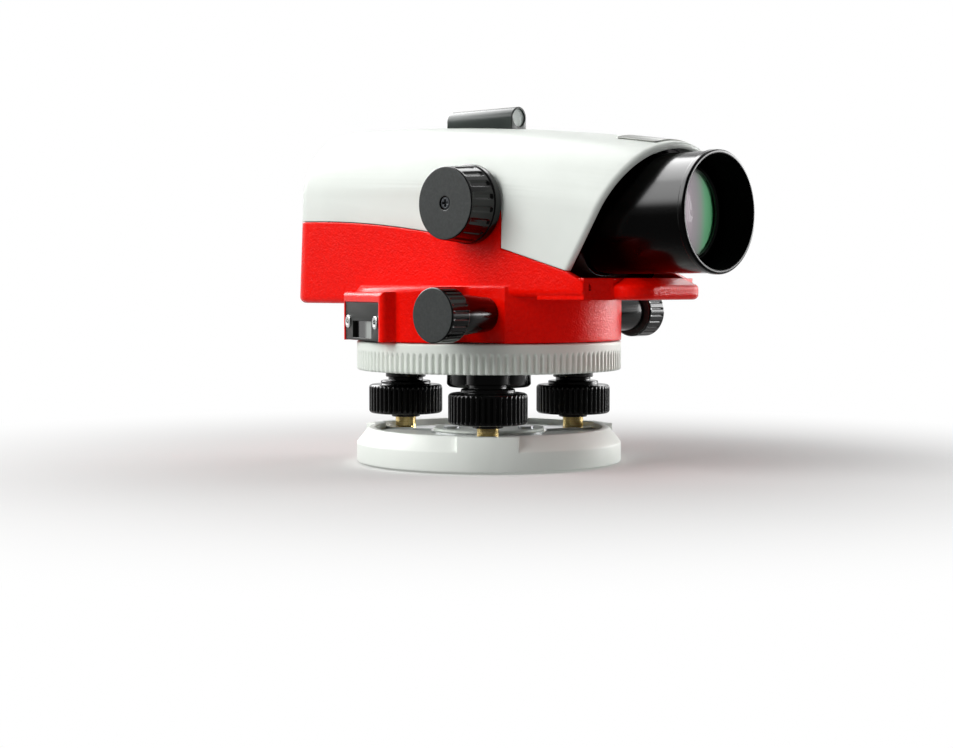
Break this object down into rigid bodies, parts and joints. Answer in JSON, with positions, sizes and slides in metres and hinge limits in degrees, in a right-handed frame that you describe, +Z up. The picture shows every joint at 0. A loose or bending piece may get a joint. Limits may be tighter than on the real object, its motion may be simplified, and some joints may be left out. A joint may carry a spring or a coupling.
{
  "type": "automatic level",
  "caption": "Surveying telescope that levels its own line of sight, on a levelling base with a knurled horizontal circle and an endless drive.",
  "frame": {"origin": "mouth of the tripod thread, in the middle of the base plate's contact face", "axes": "+X along the telescope towards the objective, +Y to the observer's left, +Z up along the vertical axis"},
  "size_m": [0.19, 0.1194, 0.1329],
  "materials": {
    "grey_enamel": "satin",
    "spring_steel": "polished",
    "bright_steel": "satin",
    "dark_screw": "satin",
    "turned_brass": "turned",
    "black_plastic": "satin",
    "black_enamel": "gloss",
    "red_enamel": "orange-peel gloss",
    "white_cover": "satin",
    "dial_white": "satin",
    "optical_glass": "coated",
    "vial_glass": "polished",
    "frosted_glass": "frosted",
    "inner_alloy": "anodised",
    "dark_plate": "matte",
    "white_nylon": "matte"
  },
  "bodies": {
    "base": {"base_plate": "grey_enamel", "spring_plate": "spring_steel", "clamp_disc": "grey_enamel", "clamp_screws": "bright_steel"},
    "footscrew_1": {"footscrew_spindle_1": "turned_brass", "footscrew_knob_1": "black_plastic"},
    "footscrew_2": {"footscrew_spindle_2": "turned_brass", "footscrew_knob_2": "black_plastic"},
    "footscrew_3": {"footscrew_spindle_3": "turned_brass", "footscrew_knob_3": "black_plastic"},
    "tribrach": {"tribrach": "black_enamel", "footscrew_bushes": "turned_brass", "axis_pin": "bright_steel", "axis_washer": "bright_steel", "friction_washer": "white_nylon"},
    "circle": {"circle_ring": "grey_enamel", "divided_circle": "dial_white"},
    "focus": {"focus_knob": "black_plastic", "focus_shaft": "bright_steel", "focus_screw": "dark_screw"},
    "carriage": {"focusing_carriage": "inner_alloy", "focusing_lens": "optical_glass"},
    "pendulum": {"pendulum_carrier": "inner_alloy", "pendulum_prism": "optical_glass"},
    "dioptre": {"dioptre_ring": "black_plastic"},
    "drive": {"drive_shaft": "bright_steel", "drive_knob_near": "black_plastic", "drive_knob_far": "black_plastic"},
    "wheel": {"drive_wheel": "turned_brass"},
    "alidade": {"suspension_tapes": "spring_steel", "window_screws": "bright_steel", "drive_bushings": "black_plastic", "sight_housing": "black_plastic", "level_hood": "black_plastic", "level_housing": "black_plastic", "objective_hood": "black_enamel", "front_bezel": "black_enamel", "rear_bezel": "black_enamel", "objective_cell": "black_enamel", "main_casting": "red_enamel", "top_cover": "white_cover", "crown_lens": "optical_glass", "flint_lens": "optical_glass", "fixed_prisms": "optical_glass", "reticle": "optical_glass", "eye_lens": "optical_glass", "window_pane": "optical_glass", "sight_lens": "optical_glass", "level_vial": "vial_glass", "sight_window": "frosted_glass", "telescope_tube": "inner_alloy", "compensator_frame": "inner_alloy", "reticle_mount": "inner_alloy", "eyepiece_tube": "inner_alloy", "focus_bushing": "inner_alloy", "window_plate": "dark_plate", "name_plate": "dark_plate"}
  },
  "joints": [
    {"name": "footscrew_1_turn", "type": "hinge", "parent": "base", "child": "footscrew_1", "pos_m": [0.02523, -0.02802, 0.0089], "axis": [0, 0, 1], "range_deg": [-356, 356]},
    {"name": "footscrew_2_turn", "type": "hinge", "parent": "base", "child": "footscrew_2", "pos_m": [0.01165, 0.03585, 0.0089], "axis": [0, 0, 1], "range_deg": [-356, 356]},
    {"name": "footscrew_3_turn", "type": "hinge", "parent": "base", "child": "footscrew_3", "pos_m": [-0.03688, -0.00784, 0.0089], "axis": [0, 0, 1], "range_deg": [-356, 356]},
    {"name": "tribrach_tilt", "type": "hinge", "parent": "base", "child": "tribrach", "pos_m": [-0.01261, 0.01401, 0.0382], "axis": [-0.7431, -0.6691, 0], "range_deg": [-1, 1]},
    {"name": "circle_turn", "type": "hinge", "parent": "tribrach", "child": "circle", "pos_m": [0, 0, 0.0432], "axis": [0, 0, 1], "continuous": true},
    {"name": "alidade_turn", "type": "hinge", "parent": "tribrach", "child": "alidade", "pos_m": [0, 0, 0.064], "axis": [0, 0, 1], "continuous": true},
    {"name": "drive_turn", "type": "hinge", "parent": "alidade", "child": "drive", "pos_m": [0.0283, 0, 0.0565], "axis": [0, 1, 0], "continuous": true},
    {"name": "wheel_turn", "type": "hinge", "parent": "alidade", "child": "wheel", "pos_m": [0, 0, 0.0565], "axis": [0, 0, 1], "continuous": true},
    {"name": "focus_slide", "type": "slide", "parent": "alidade", "child": "carriage", "axis": [1, 0, 0], "range_m": [-0.01, 0.01]},
    {"name": "focus_turn", "type": "hinge", "parent": "alidade", "child": "focus", "pos_m": [0.0211, 0, 0.0956], "axis": [0, 1, 0], "range_deg": [-144, 144]},
    {"name": "pendulum_swing", "type": "hinge", "parent": "alidade", "child": "pendulum", "pos_m": [-0.037, 0, 0.107], "axis": [0, 1, 0], "range_deg": [-0.5, 0.5]},
    {"name": "dioptre_turn", "type": "hinge", "parent": "alidade", "child": "dioptre", "pos_m": [-0.081, 0, 0.0916], "axis": [1, 0, 0], "range_deg": [-150, 150]}
  ],
  "couplings": [
    {"joint": "footscrew_1_turn", "follows": "tribrach_tilt", "ratio": -355.3},
    {"joint": "drive_turn", "follows": "wheel_turn", "ratio": 120},
    {"joint": "focus_turn", "follows": "focus_slide", "rad_per_m": -250}
  ]
}
